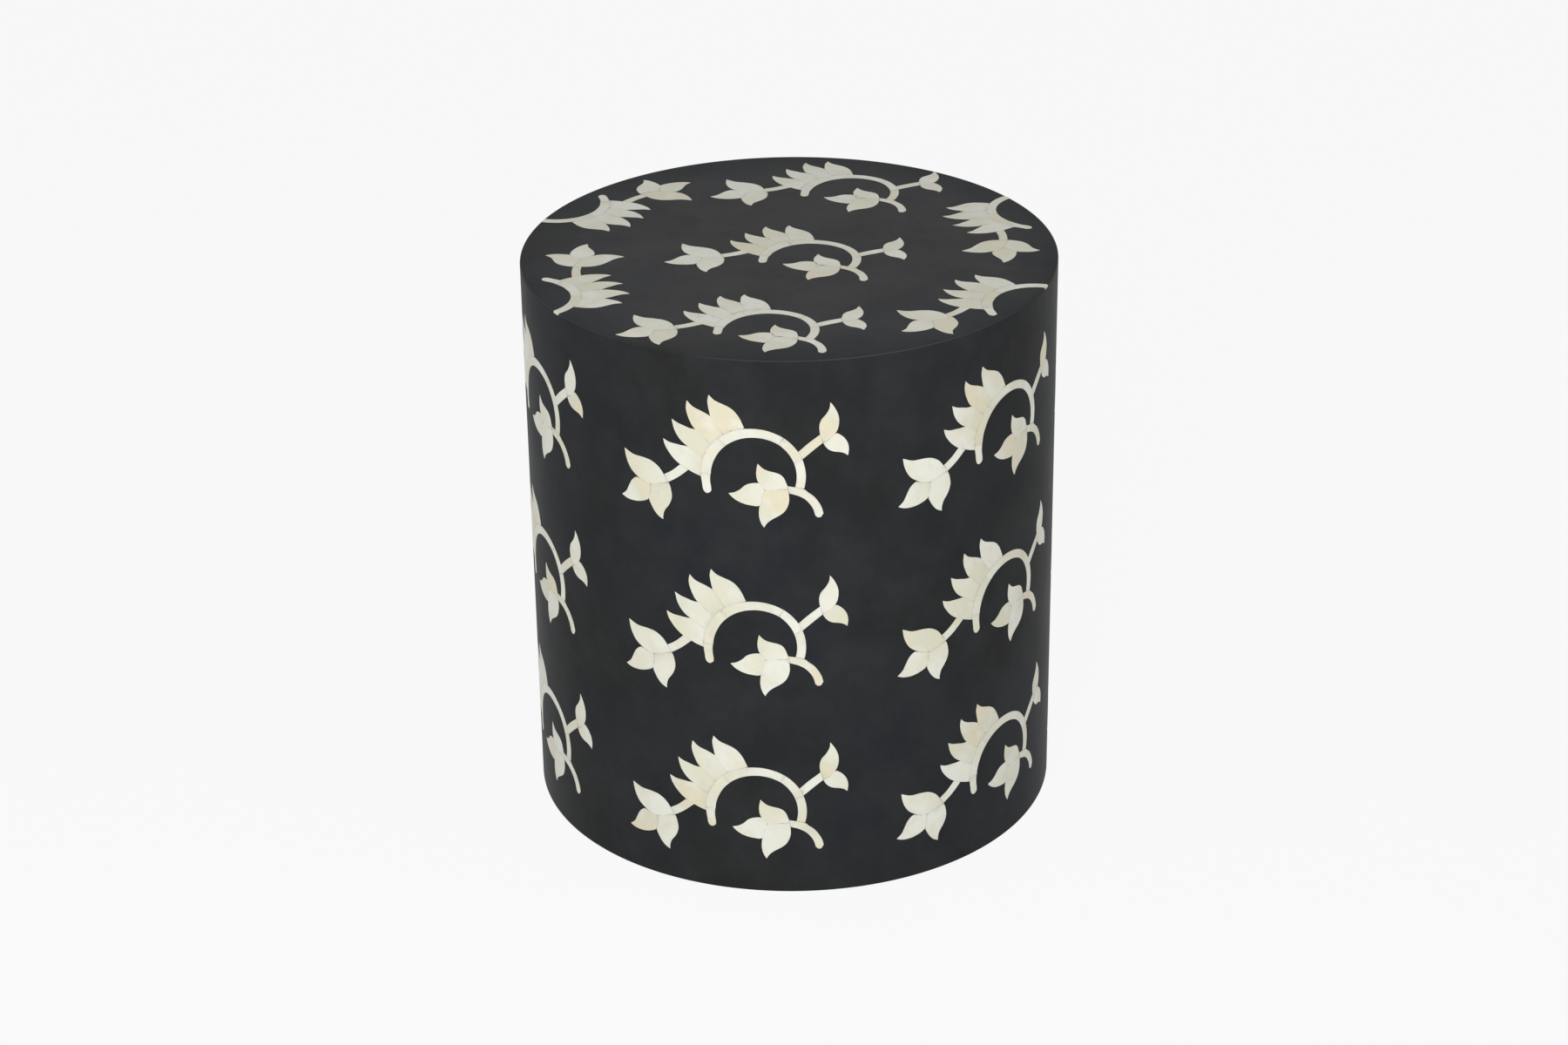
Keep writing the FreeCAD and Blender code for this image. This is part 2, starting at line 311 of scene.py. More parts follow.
stemArc = {
    "joints": [180, 131, 55, 22, -13.9],  # turns in degrees where two slips of the arc meet
    "widthAt": [180, 155, 131, 93, 55, 22, -13.9],  # turns at which the arc's two radii are given
    "innerMm": [31.2, 30.6, 30.8, 31.4, 32.4, 31.9, 31.4],
    "outerMm": [38.8, 38.8, 38.8, 38.5, 38.9, 38.6, 38.0],
    "carries": ["leafOne", "leafTwo", "leafThree", "leafFour", "stemRight"],
    "seat": 5.0 * mm,  # length over which a slip that starts on the arc is bent to it
    "edgePoints": 24,
}

inlay = {
    "columns": 6,
    "rowHeightsMm": [71.5, 211.0, 350.5],  # of the arcs' middles
    "frontTurn": -8.0,  # degrees from the front to the nearest column
    "depth": 1.6 * mm,
    "facesIn": 0.02 * mm,  # keeps the bone just inside the drum's full size
    "seam": 0.015 * mm,  # half of the joint between two slips
    "softEdge": 0.07 * mm,
    "softMost": 0.3,  # most of a slip's width or length that one soft edge takes up
    "roundMiddle": 0.29,  # how far in, and how far down, the middle of a quarter round lies
    "narrowestMm": 0.2,  # a slip ends where less than this is left between its seams
    "lineSamples": 240,
    "along": 15,  # grid steps on a slip, inside its rounded edge
    "across": 7,
    "smoothAngle": 18,
    "toneDrift": 0.5,  # how much a slip's tone may change from foot to tip
    "glueMm": 1.6,  # how far glue reaches from a slip's foot
    "rimFromMm": 180,  # a top sprig whose middle is farther out than this is cut by the rim
    "notAtRim": ("inner", "tail", "right"),  # how the names begin of the slips that it lacks
}

# How each sprig was laid by hand: moved across and along in millimetres, turned in degrees, then
# wider, taller and leaning in percent. A top sprig counts from the middle of the drum's top.
topInlay = {
    "top_sprig_centre": (16.0, -14.6, -15.2, 0.2, -1.6, -2.5),
    "top_sprig_front": (-16.6, -147.7, -13.6, -1.0, -3.8, -0.9),
    "top_sprig_back": (48.5, 121.6, -13.8, -0.2, -0.2, -1.4),
    "top_sprig_right_front": (178.5, -105.6, 9.1, -1.1, -1.1, 0.1),
    "top_sprig_right_back": (191.2, 79.2, 57.2, -0.8, -1.3, 0.5),
    "top_sprig_left_back": (-178.1, 103.1, -172.6, 0.6, -1.6, -1.7),
    "top_sprig_left_front": (-191.6, -82.6, -127.1, 0.1, -0.3, -0.8),
}

# A side sprig, by row and column, counts from its even place, where those not listed stand.
laidOff = {
    (0, 0): (-1.5, -0.3, 1.0, 0.2, 0.1, 1.6),
    (0, 1): (-0.5, -0.7, 0.8, -0.4, -1.2, 1.0),
    (0, 5): (-5.1, -2.4, 1.8, 0.2, 0.8, 2.9),
    (1, 0): (-0.6, 0.2, 1.0, -0.3, -0.5, 1.5),
    (1, 1): (0.4, -1.1, 0.1, -0.1, -1.2, 0.8),
    (1, 5): (-3.3, -1.4, 2.3, 0.5, -0.6, 3.8),
    (2, 0): (0.5, -0.2, 0.2, -0.4, -0.7, 0.3),
    (2, 1): (1.0, -1.0, 0.1, 0.6, -1.7, -0.7),
    (2, 5): (-0.4, 0.4, 1.0, 0.1, -0.5, 1.0),
}


def distanceRun(points):
    # Distance from a line's first point to each of its points, along the line.
    return np.concatenate([[0], np.cumsum(np.linalg.norm(np.diff(points, axis=0), axis=1))])


def smoothLine(points, samples):
    # A cubic through the points, by distance run, with each point's slope taken from its
    # neighbours.
    points = np.array(points, float)
    run = distanceRun(points)
    slope = np.gradient(points, run, axis=0)
    place = np.linspace(0, run[-1], samples)
    part = np.clip(np.searchsorted(run, place, side="right") - 1, 0, len(points) - 2)
    length = (run[part + 1] - run[part])[:, None]
    t = (place[:, None] - run[part][:, None]) / length
    return ((1 + 2 * t) * (1 - t) ** 2 * points[part] + t * (1 - t) ** 2 * length * slope[part]
            + t**2 * (3 - 2 * t) * points[part + 1] + t**2 * (t - 1) * length * slope[part + 1])


def arcRadius(edge, degrees):
    # Radius of the arc's outer or inner edge at a turn. The tables are read from their last entry,
    # because interpolation takes rising turns.
    return np.interp(degrees, stemArc["widthAt"][::-1], stemArc[edge][::-1])


def arcEdges(start, end):
    degrees = np.linspace(start, end, stemArc["edgePoints"])
    ray = np.stack([np.cos(np.radians(degrees)), np.sin(np.radians(degrees))], -1)
    return [arcRadius(edge, degrees)[:, None] * ray for edge in ("outerMm", "innerMm")]


def edgeSteps(length, count):
    # Distances in from both ends of a length, in millimetres: the wall's two lines, the middle and
    # end of the rounded edge, then even steps between.
    soft = np.minimum(inlay["softEdge"] / mm, length * inlay["softMost"])
    seam = inlay["seam"] / mm
    near = [seam + soft * share for share in (0, 0, inlay["roundMiddle"], 1)]
    inner = length - 2 * seam - 2 * soft
    inside = [seam + soft + inner * step / count for step in range(1, count)]
    return np.stack(near + inside + [length - distance for distance in near[::-1]], -1)


def edgeDrops(count):
    # How far each of those steps lies below the slip's face, down the quarter round and the wall.
    soft = inlay["softEdge"]
    near = [inlay["depth"], soft, soft * inlay["roundMiddle"], 0]
    return np.array(near + [0] * (count - 1) + near[::-1])


def slipGrid(edges):
    # A slip's face: point(s, t) lies a share t of the way from one edge to the other at a share s
    # along them. Rows and columns stand closer together near the rounded edges. Gives the points,
    # how far each lies below the face, its grain, and its share of the way from foot to tip.
    first, second = (smoothLine(edge, inlay["lineSamples"]) for edge in edges)
    width = np.linalg.norm(first - second, axis=1)
    run = distanceRun((first + second) / 2)
    wide = np.flatnonzero(width > 2 * inlay["seam"] / mm + inlay["narrowestMm"])
    low, high = run[wide[0]], run[wide[-1]]
    along = low + edgeSteps(np.array(high - low), inlay["along"])
    place = [np.interp(along, run, line[:, axis]) for line in (first, second) for axis in (0, 1)]
    first, second = np.stack(place[:2], -1), np.stack(place[2:], -1)
    width = np.linalg.norm(first - second, axis=1)
    share = edgeSteps(width, inlay["across"]) / width[:, None]
    points = first[:, None] * (1 - share[..., None]) + second[:, None] * share[..., None]
    drops = np.maximum(edgeDrops(inlay["along"])[:, None], edgeDrops(inlay["across"])[None, :])
    # the grain's numbers run along the slip, across it, and in from its nearest edge
    fromEnd = np.minimum(along - low, high - along)[:, None]
    fromSide = np.minimum(share, 1 - share) * width[:, None]
    grain = [along[:, None], share * width[:, None], np.minimum(fromEnd, fromSide)]
    grain = np.stack(np.broadcast_arrays(*grain), -1)
    fromFoot = np.broadcast_to(((along - low) / (high - low))[:, None], share.shape)
    return points * mm, drops, grain * mm, fromFoot


def slipFaces(rows, columns, start):
    # The grid's quads, strips across the slip's back, and a many-sided face that closes the back at
    # each end.
    faces = gridFaces(rows, columns, start).tolist()
    row = np.arange(1, rows - 2)
    back = start + np.stack([row * columns, row * columns + columns - 1,
                             (row + 1) * columns + columns - 1, (row + 1) * columns], -1)
    foot = start + np.concatenate([np.arange(columns), [2 * columns - 1, columns]])
    last = (rows - 1) * columns
    tip = start + np.concatenate([last + np.arange(columns)[::-1], [last - columns, last - 1]])
    return faces + back.tolist() + [foot.tolist(), tip.tolist()]


def seatOnArc(points):
    # A slip that starts on the arc gets its foot bent to the arc's outer edge: each line from foot
    # to tip moves outwards by what its foot lacks, and less and less over the seat's length.
    radius = np.linalg.norm(points, axis=-1)
    turns = np.degrees(np.arctan2(points[0, :, 1], points[0, :, 0])) % 360
    edge = arcRadius("outerMm", turns) * mm + inlay["seam"]
    lacks = np.maximum(edge - radius[0], 0)
    share = np.clip(1 - np.linalg.norm(points - points[0], axis=-1) / stemArc["seat"], 0, 1)
    return points * (1 + lacks * share / radius)[..., None]


def sprigSlips():
    slips = {name: slipGrid(edges) for name, edges in slipOutlines.items()}
    for name in stemArc["carries"]:
        slips[name] = (seatOnArc(slips[name][0]), *slips[name][1:])
    joints = stemArc["joints"]
    for number, (start, end) in enumerate(zip(joints[:-1], joints[1:])):
        slips[f"arc{number + 1}"] = slipGrid(arcEdges(start, end))
    return slips


template = sprigSlips()
chance = np.random.default_rng(11)


def laidBy(points, across, along, turn, wider, taller, leaning):
    # u becomes u (1 + wider) + v leaning, and v becomes v (1 + taller). The points are then turned
    # about the arc's middle and moved.
    cosine, sine = math.cos(math.radians(turn)), math.sin(math.radians(turn))
    stretch = np.array([[1 + wider / 100, 0], [leaning / 100, 1 + taller / 100]])
    rotation = np.array([[cosine, sine], [-sine, cosine]])
    return points @ stretch @ rotation + np.array([across, along]) * mm


def wrapOnSide(points, drops, turn, height, laid):
    # u runs round the drum, v runs up it, and a drop runs in towards the axis.
    points = laidBy(points, *laid)
    radius = drum["radius"] - inlay["facesIn"]
    angle = turn + points[..., 0] / drum["radius"]
    reach = radius - drops
    return np.stack([reach * np.sin(angle), -reach * np.cos(angle), height + points[..., 1]], -1)


def layOnTop(points, drops, laid):
    # u and v are turned and moved over the top, and a drop runs down.
    points = laidBy(points, *laid)
    return np.concatenate([points, drum["height"] - inlay["facesIn"] - drops[..., None]], -1)


def makeSprig(name, slips, place, *where):
    # All slips of a sprig in one mesh. Each has its own tone, which drifts from its foot to its
    # tip, a grain that runs along it, and more or less glue showing at its foot.
    vertices, faces, tones, grains, glues = [], [], [], [], []
    count = 0
    for points, drops, grain, fromFoot in slips.values():
        laid = place(points, drops, *where).reshape(-1, 3)
        vertices.append(laid)
        faces += slipFaces(*drops.shape, count)
        tone = chance.random() + inlay["toneDrift"] * chance.normal() * (fromFoot - 0.5)
        tones.append(np.clip(tone, 0, 1).ravel())
        shift = np.append(chance.random(2), 0)
        grains.append(grain.reshape(-1, 3) + shift)
        fromFootMm = fromFoot * np.ptp(grain[..., 0]) / mm
        glues.append((chance.random() ** 2 * np.exp(-fromFootMm / inlay["glueMm"])).ravel())
        count += len(laid)
    mesh = bpy.data.meshes.new(name)
    mesh.from_pydata(np.concatenate(vertices).tolist(), [], faces)
    for attribute, kind, field, values in (
        ("tone", "FLOAT", "value", tones),
        ("glue", "FLOAT", "value", glues),
        ("grain", "FLOAT_VECTOR", "vector", grains),
    ):
        given = mesh.attributes.new(attribute, kind, "POINT")
        given.data.foreach_set(field, np.concatenate(values).ravel())
    finishMesh(mesh, inlay["smoothAngle"])
    return linkPiece(name, mesh)


def makeSideSprigs():
    made = []
    evenly = (0, 0, 0, 0, 0, 0)
    for row, height in enumerate(inlay["rowHeightsMm"]):
        for column in range(inlay["columns"]):
            name = f"sideSprigRow{row + 1}Column{column + 1}"
            turn = math.radians(inlay["frontTurn"] + column * 360 / inlay["columns"])
            laid = laidOff.get((row, column), evenly)
            piece = makeSprig(name, template, wrapOnSide, turn, height * mm, laid)
            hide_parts(f"side_sprigs_row_{row + 1}")
            made.append(piece)
    return made


sideSprigs = makeSideSprigs()
print("side sprigs made:", len(sideSprigs))


def closeSlits(mesh):
    # The cut can leave slits of no width along a slip's back; each is filled.
    shape = bmesh.new()
    shape.from_mesh(mesh)
    bmesh.ops.holes_fill(shape, edges=[edge for edge in shape.edges if edge.is_boundary])
    shape.to_mesh(mesh)
    shape.free()


rimCut = {"above": 0.03 * mm, "deep": 4 * mm, "roundSteps": 6}


def trimAtRim(piece):
    # Keeps what lies inside a disc of the drum's size with the rim's rounded edge. The disc's top
    # lies just above the bone's face, which stays as it is.
    outer, rim = drum["radius"] - inlay["facesIn"], coat["rimRound"]
    level = drum["height"] + rimCut["above"]
    below = level - rimCut["deep"]
    profile = np.concatenate([
        [(0, level)],
        quarterRound((outer - rim, level - rim), rim, 90, rimCut["roundSteps"]),
        [(outer, below), (0, below)],
    ])
    cutter = makePiece("rimCutter", *revolved(profile, coat["turns"]))
    trim = piece.modifiers.new("trim", "BOOLEAN")
    trim.operation, trim.solver, trim.object = "INTERSECT", "EXACT", cutter
    depsgraph = bpy.context.evaluated_depsgraph_get()
    trimmed = bpy.data.meshes.new_from_object(piece.evaluated_get(depsgraph), depsgraph=depsgraph)
    piece.modifiers.clear()
    whole, piece.data = piece.data, trimmed
    name = whole.name
    bpy.data.meshes.remove(whole)
    trimmed.name = name
    bpy.data.objects.remove(cutter)
    closeSlits(trimmed)


def makeTopSprigs():
    missing = inlay["notAtRim"]
    rimSlips = {name: slip for name, slip in template.items() if not name.startswith(missing)}
    made = []
    for node, laid in topInlay.items():
        first, *words = node.split("_")
        name = first + "".join(word.title() for word in words)
        atRim = math.hypot(*laid[:2]) > inlay["rimFromMm"]
        piece = makeSprig(name, rimSlips if atRim else template, layOnTop, laid)
        if atRim:
            trimAtRim(piece)
        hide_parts(node)
        made.append(piece)
    return made


topSprigs = makeTopSprigs()
print("top sprigs made:", len(topSprigs))


# Felt pads

felt = {
    "softEdge": 0.6 * mm,
    "roundSteps": 3,
    "smaller": 0.1 * mm,  # on each side, so that the pad stays inside the solid's box
    "cornerPower": 6.0,
    "turns": 40,
    "smoothAngle": 50,
}


def makePads():
    # Each pad's outline is a rounded square, |x|^n + |y|^n = 1, and its section a flat disc whose
    # edge rounds over; the outline is carried in to the middle. A pad's sides face the drum's axis,
    # so it stands turned by half a right angle, and its box is as wide as its diagonal.
    made = []
    angle = np.linspace(0, 2 * np.pi, felt["turns"], endpoint=False)
    power, soft, steps = felt["cornerPower"], felt["softEdge"], felt["roundSteps"]
    reach = (np.abs(np.cos(angle)) ** power + np.abs(np.sin(angle)) ** power) ** (-1 / power)
    for node in sorted(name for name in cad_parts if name.startswith("felt_pad")):
        low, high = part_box(node)
        centre = (low + high) / 2
        half = (high.x - low.x) / 2 / math.sqrt(2) - felt["smaller"]
        thick = high.z - low.z
        turn = math.atan2(centre.y, centre.x)
        section = np.concatenate([
            [(0, thick)], quarterRound((half - soft, thick - soft), soft, 90, steps),
            quarterRound((half - soft, soft), soft, 0, steps), [(0, 0)],
        ])
        radius = section[:, :1] * reach
        points = np.stack([
            centre.x + radius * np.cos(angle + turn),
            centre.y + radius * np.sin(angle + turn),
            low.z + section[:, 1:] + 0 * angle,
        ], -1)
        faces = gridFaces(len(section), len(angle), wrap=True)
        piece = makePiece("feltPad" + node[-1], points.reshape(-1, 3), faces, felt["smoothAngle"])
        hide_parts(node)
        made.append(piece)
    return made


feltPads = makePads()
print("felt pads made")


# Materials

def startMaterial(name):
    material = bpy.data.materials.new(name)
    material.use_nodes = True
    nodes, links = material.node_tree.nodes, material.node_tree.links
    return material, nodes, links, nodes["Principled BSDF"]


def add(nodes, kind, **settings):
    node = nodes.new(kind)
    for key, value in settings.items():
        setattr(node, key, value)
    return node


def feed(links, socket, value):
    # A number or a colour is set on the socket itself; anything else is linked to it.
    if isinstance(value, tuple):
        socket.default_value = (*value, 1)
    elif isinstance(value, (int, float)):
        socket.default_value = value
    else:
        links.new(value, socket)


def noiseNode(nodes, links, vector, scale, detail, rough):
    noise = add(nodes, "ShaderNodeTexNoise")
    taken = {"Vector": vector, "Scale": scale, "Detail": detail, "Roughness": rough}
    for key, value in taken.items():
        feed(links, noise.inputs[key], value)
    return noise.outputs["Fac"]


def remap(nodes, links, value, low, high, toLow, toHigh):
    node = add(nodes, "ShaderNodeMapRange")
    taken = {"Value": value, "From Min": low, "From Max": high, "To Min": toLow, "To Max": toHigh}
    for key, number in taken.items():
        feed(links, node.inputs[key], number)
    return node.outputs["Result"]


def mixColours(nodes, links, mask, first, second):
    node = add(nodes, "ShaderNodeMix", data_type="RGBA")
    for number, value in ((0, mask), (6, first), (7, second)):
        feed(links, node.inputs[number], value)
    return node.outputs[2]


def tinted(nodes, links, colour, other, value, share):
    # A colour goes over to another as a value goes from the share's first number to its second;
    # the last two numbers are how far it goes over at each.
    return mixColours(nodes, links, remap(nodes, links, value, *share), colour, other)


def combine(nodes, links, operation, first, second=0.0):
    node = add(nodes, "ShaderNodeMath", operation=operation)
    for socket, value in zip(node.inputs, (first, second)):
        feed(links, socket, value)
    return node.outputs[0]


def stretchBy(nodes, links, vector, scale):
    node = add(nodes, "ShaderNodeMapping")
    node.inputs["Scale"].default_value = scale
    links.new(vector, node.inputs["Vector"])
    return node.outputs["Vector"]


def bumpNormal(nodes, links, height, look):
    bump = add(nodes, "ShaderNodeBump")
    bump.inputs["Distance"].default_value = look["bumpHeight"]
    bump.inputs["Strength"].default_value = look["bumpStrength"]
    links.new(height, bump.inputs["Height"])
    return bump.outputs["Normal"]


def newGroup(name, inputs, outputs):
    group = bpy.data.node_groups.new(name, "ShaderNodeTree")
    for socket, kind, value in inputs:
        made = group.interface.new_socket(socket, in_out="INPUT", socket_type=kind)
        if value is not None:
            made.default_value = value
    for socket, kind in outputs:
        group.interface.new_socket(socket, in_out="OUTPUT", socket_type=kind)
    return group, group.nodes.new("NodeGroupInput"), group.nodes.new("NodeGroupOutput")


# In the tables of looks a noise is given by its scale, detail and roughness, and a share by a
# value's two ends and how much shows at each.

rubbing = {
    "slowNoise": (14.0, 4.0, 0.6),
    "scratchStretch": (1.0, 0.9, 0.12),
    "scratchDetail": 2.0,
    "scratchRoughness": 0.5,
}


def handRubbedGroup():
    # Marks of sanding and handling: fine scratches for the bump, and a roughness that changes
    # slowly. The noise runs from 0 to 1, so it is centred and doubled to vary it either way.
    group, taken, given = newGroup("handRubbed", [
        ("Vector", "NodeSocketVector", None),
        ("Base Roughness", "NodeSocketFloat", 0.4),
        ("Variation", "NodeSocketFloat", 0.1),
        ("Scratch Scale", "NodeSocketFloat", 900.0),
    ], [("Roughness", "NodeSocketFloat"), ("Height", "NodeSocketFloat")])
    nodes, links = group.nodes, group.links
    slow = noiseNode(nodes, links, taken.outputs["Vector"], *rubbing["slowNoise"])
    stretched = add(nodes, "ShaderNodeVectorMath", operation="MULTIPLY")
    stretched.inputs[1].default_value = rubbing["scratchStretch"]
    links.new(taken.outputs["Vector"], stretched.inputs[0])
    scratches = noiseNode(nodes, links, stretched.outputs[0], taken.outputs["Scratch Scale"],
                          rubbing["scratchDetail"], rubbing["scratchRoughness"])
    centred = combine(nodes, links, "SUBTRACT", slow, 0.5)
    change = combine(nodes, links, "MULTIPLY", centred, taken.outputs["Variation"])
    doubled = combine(nodes, links, "MULTIPLY", change, 2.0)
    roughness = combine(nodes, links, "ADD", taken.outputs["Base Roughness"], doubled)
    links.new(roughness, given.inputs["Roughness"])
    links.new(scratches, given.inputs["Height"])
    return group


handRubbed = handRubbedGroup()


def placeRubbed(nodes, links, vector, look):
    node = add(nodes, "ShaderNodeGroup")
    node.node_tree = handRubbed
    node.inputs["Base Roughness"].default_value = look["roughness"]
    node.inputs["Variation"].default_value = look["roughnessVaries"]
    node.inputs["Scratch Scale"].default_value = look["scratchScale"]
    links.new(vector, node.inputs["Vector"])
    return node


resinLook = {
    "brown": (0.0235, 0.0238, 0.0236),
    "blue": (0.0228, 0.0254, 0.0292),
    "pale": (0.0335, 0.0355, 0.0375),
    # painted sheen: the top of the resin drawn lighter than its own colour, less towards the rim
    "paintedTopSheen": (0.0655, 0.0655, 0.0675),
    "dust": (0.040, 0.040, 0.038),
    # painted highlight along the rim's rounded edge
    "paintedRimHighlight": (0.075, 0.077, 0.082),
    "driftNoise": (7.0, 2.0, 0.5),
    "cloudNoise": (22.0, 5.0, 0.62),
    "speckNoise": (520.0, 2.0, 0.6),
    "blueShare": (0.38, 0.62, 0.0, 1.0),
    "paleShare": (0.38, 0.70, 0.0, 0.9),
    "dustShare": (0.70, 0.78, 0.0, 0.5),
    "paintedTopSheenShare": (0.3, 0.7, 0.35, 0.65),
    "paintedRimHighlightShare": (0.35, 0.6, 0.2, 1.0),
    "paintedRimHighlightAt": (0.85 * mm, 1.25 * mm, 0.9, 0.0),  # where the rim's painted highlight shows, by what is left to the wall and to the top
    "topBelow": (1.0 * mm, 0.3 * mm),  # where the top's painted sheen starts and is full
    "paintedTopSheenWithin": 0.75,  # share of the radius inside which the painted sheen on the top is strongest
    "paintedTopSheenAtRim": 0.1,
    "roughness": 0.48,
    "roughnessVaries": 0.07,
    "scratchScale": 700.0,
    "cloudRelief": 2.0,
    "bumpHeight": 0.06 * mm,
    "bumpStrength": 0.5,
    "gloss": 0.028,
}


def rimMasks(nodes, links, place):
    # The first shows on the rim's rounded edge, where what is left to the wall and to the top adds
    # up to least: a painted highlight. The second is full on the top, and fades over the last part
    # before the rim: a painted sheen.
    flat = add(nodes, "ShaderNodeVectorMath", operation="MULTIPLY")
    flat.inputs[1].default_value = (1, 1, 0)
    links.new(place, flat.inputs[0])
    reach = add(nodes, "ShaderNodeVectorMath", operation="LENGTH")
    links.new(flat.outputs[0], reach.inputs[0])
    upright = add(nodes, "ShaderNodeSeparateXYZ")
    links.new(place, upright.inputs[0])
    together = combine(nodes, links, "ADD", reach.outputs["Value"], upright.outputs["Z"])
    left = combine(nodes, links, "SUBTRACT", drum["radius"] + drum["height"], together)
    edge = remap(nodes, links, left, *resinLook["paintedRimHighlightAt"])
    starts, full = (drum["height"] - below for below in resinLook["topBelow"])
    above = remap(nodes, links, upright.outputs["Z"], starts, full, 0.0, 1.0)
    within = drum["radius"] * resinLook["paintedTopSheenWithin"]
    inside = remap(nodes, links, reach.outputs["Value"], within, drum["radius"],
                   1.0, resinLook["paintedTopSheenAtRim"])
    return edge, combine(nodes, links, "MULTIPLY", above, inside)


def makeResin():
    # Charcoal resin with a faint cloudiness, pale specks of filler and a rubbed satin face, with a
    # painted sheen on the top and a painted highlight along the rim.
    material, nodes, links, shader = startMaterial("charcoalResin")
    look = resinLook
    place = add(nodes, "ShaderNodeTexCoord").outputs["Object"]
    drift = noiseNode(nodes, links, place, *look["driftNoise"])
    clouds = noiseNode(nodes, links, place, *look["cloudNoise"])
    specks = noiseNode(nodes, links, place, *look["speckNoise"])
    colour = tinted(nodes, links, look["brown"], look["blue"], drift, look["blueShare"])
    colour = tinted(nodes, links, colour, look["pale"], clouds, look["paleShare"])
    colour = tinted(nodes, links, colour, look["dust"], specks, look["dustShare"])
    rimHighlight, paintedTopSheen = rimMasks(nodes, links, place)
    patchy = remap(nodes, links, clouds, *look["paintedTopSheenShare"])
    # painted sheen on the top, patchy with the clouds
    paintedTopSheen = combine(nodes, links, "MULTIPLY", paintedTopSheen, patchy)
    colour = mixColours(nodes, links, paintedTopSheen, colour, look["paintedTopSheen"])
    # painted highlight on the rim, patchy with the drift
    patchyEdge = remap(nodes, links, drift, *look["paintedRimHighlightShare"])
    rimHighlight = combine(nodes, links, "MULTIPLY", rimHighlight, patchyEdge)
    colour = mixColours(nodes, links, rimHighlight, colour, look["paintedRimHighlight"])
    rubbed = placeRubbed(nodes, links, place, look)
    relief = combine(nodes, links, "MULTIPLY", clouds, look["cloudRelief"])
    height = combine(nodes, links, "ADD", rubbed.outputs["Height"], relief)
    links.new(colour, shader.inputs["Base Color"])
    links.new(rubbed.outputs["Roughness"], shader.inputs["Roughness"])
    links.new(bumpNormal(nodes, links, height, look), shader.inputs["Normal"])
    shader.inputs["Specular IOR Level"].default_value = look["gloss"]
    return material


boneLook = {
    "ivory": (0.815, 0.808, 0.680),
    "white": (0.875, 0.880, 0.785),
    "cream": (0.755, 0.738, 0.575),
    "warm": (0.800, 0.755, 0.570),
    "peach": (0.805, 0.735, 0.530),
    "grey": (0.640, 0.640, 0.585),
    "fibre": (0.620, 0.570, 0.430),
    "pore": (0.300, 0.240, 0.170),
    "joint": (0.230, 0.185, 0.130),
    "glue": (0.200, 0.190, 0.170),
    "patchNoise": (50.0, 3.0, 0.5),
    "shadeNoise": (95.0, 3.0, 0.5),
    "fibreStretch": (120.0, 1400.0, 1.0),
    "fibreNoise": (1.0, 3.0, 0.6),
    "poreStretch": (500.0, 1600.0, 1.0),
    "poreNoise": (1.0, 1.0, 0.5),
    "glueNoise": (900.0, 2.0, 0.6),
    "raggedNoise": (160.0, 2.0, 0.6),
    "ivoryShare": (0.0, 0.55, 0.0, 1.0),
    "creamShare": (0.55, 0.85, 0.0, 1.0),
    "peachShare": (0.87, 0.98, 0.0, 0.9),
    "warmShare": (0.48, 0.68, 0.0, 0.65),
    "whiteShare": (0.48, 0.30, 0.0, 0.65),
    "greyShare": (0.56, 0.78, 0.0, 0.42),
    "fibreShare": (0.52, 0.80, 0.0, 0.30),
    "poreShare": (0.70, 0.78, 0.0, 0.5),
    "glueShare": (0.48, 0.62, 0.0, 0.9),
    "stainReach": (0.45, 0.72, 0.08 * mm, 0.9 * mm),  # how far stain comes in from the edge
    "stainShare": (0.0, 1.0, 0.28, 0.0),
    # painted shade: grey inside each slip's edges, fading over this distance
    "paintedEdgeShade": (0.0, 1.8 * mm, 0.32, 0.0),
    "paintedEdgeShadeVaries": (0.35, 0.65, 0.2, 1.0),
    "roughness": 0.38,
    "roughnessVaries": 0.08,
    "scratchScale": 800.0,
    "scratchRelief": 0.5,
    "bumpHeight": 0.05 * mm,
    "bumpStrength": 0.6,
    "refraction": 1.54,
}


